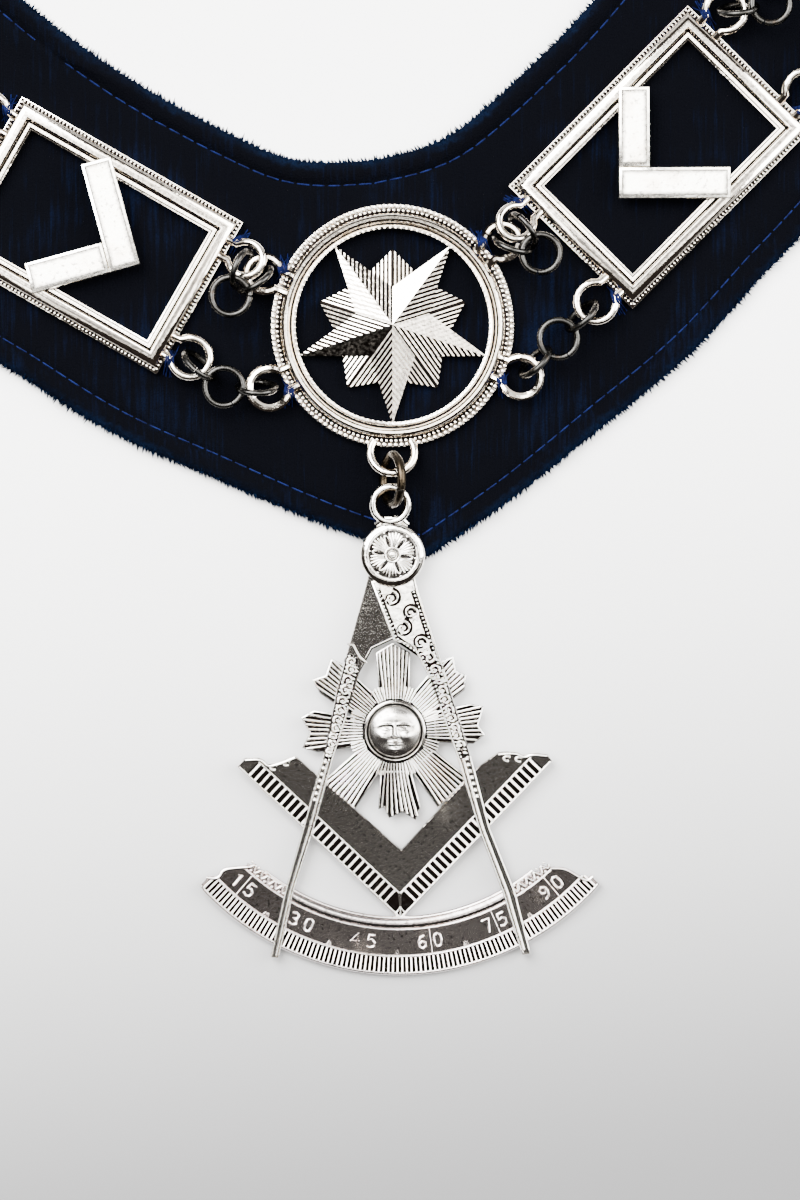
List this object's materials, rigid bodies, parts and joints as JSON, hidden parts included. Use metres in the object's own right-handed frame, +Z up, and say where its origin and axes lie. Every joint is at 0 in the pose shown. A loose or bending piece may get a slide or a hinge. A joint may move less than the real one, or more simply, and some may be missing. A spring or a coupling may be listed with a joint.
{
  "type": "ceremonial chain collar",
  "caption": "Velvet neck collar carrying a double chain of oblong square-set links, a star roundel and a hanging compass, square, sun and protractor jewel",
  "frame": {"origin": "on the flat underside of the velvet, directly below the centre of the star roundel", "axes": "+Y runs from the front point of the collar to the back of the neck, +X is to the viewer's right when seen from above with the jewel toward the viewer, +Z is up off the table"},
  "size_m": [0.3286, 0.4584, 0.0127],
  "materials": {
    "velvet": "dark navy velvet with a brushed pile",
    "plated_metal": "bright nickel plating with light tarnish",
    "jump_ring_steel": "dull grey wire",
    "pendant_ring_metal": "darkened wire"
  },
  "bodies": {
    "root": {"jewel": "plated_metal", "link_back": "plated_metal", "link_l1": "plated_metal", "link_l2": "plated_metal", "link_l3": "plated_metal", "link_l4": "plated_metal", "link_l5": "plated_metal", "link_r1": "plated_metal", "link_r2": "plated_metal", "link_r3": "plated_metal", "link_r4": "plated_metal", "link_r5": "plated_metal", "pendant_ring": "pendant_ring_metal", "rings_l1_inner": "jump_ring_steel", "rings_l1_outer": "jump_ring_steel", "rings_l2_inner": "jump_ring_steel", "rings_l2_outer": "jump_ring_steel", "rings_l3_inner": "jump_ring_steel", "rings_l3_outer": "jump_ring_steel", "rings_l4_inner": "jump_ring_steel", "rings_l4_outer": "jump_ring_steel", "rings_l5_inner": "jump_ring_steel", "rings_l5_outer": "jump_ring_steel", "rings_l6_inner": "jump_ring_steel", "rings_l6_outer": "jump_ring_steel", "rings_r1_inner": "jump_ring_steel", "rings_r1_outer": "jump_ring_steel", "rings_r2_inner": "jump_ring_steel", "rings_r2_outer": "jump_ring_steel", "rings_r3_inner": "jump_ring_steel", "rings_r3_outer": "jump_ring_steel", "rings_r4_inner": "jump_ring_steel", "rings_r4_outer": "jump_ring_steel", "rings_r5_inner": "jump_ring_steel", "rings_r5_outer": "jump_ring_steel", "rings_r6_inner": "jump_ring_steel", "rings_r6_outer": "jump_ring_steel", "star_roundel": "plated_metal", "velvet_collar": "velvet"}
  },
  "joints": []
}
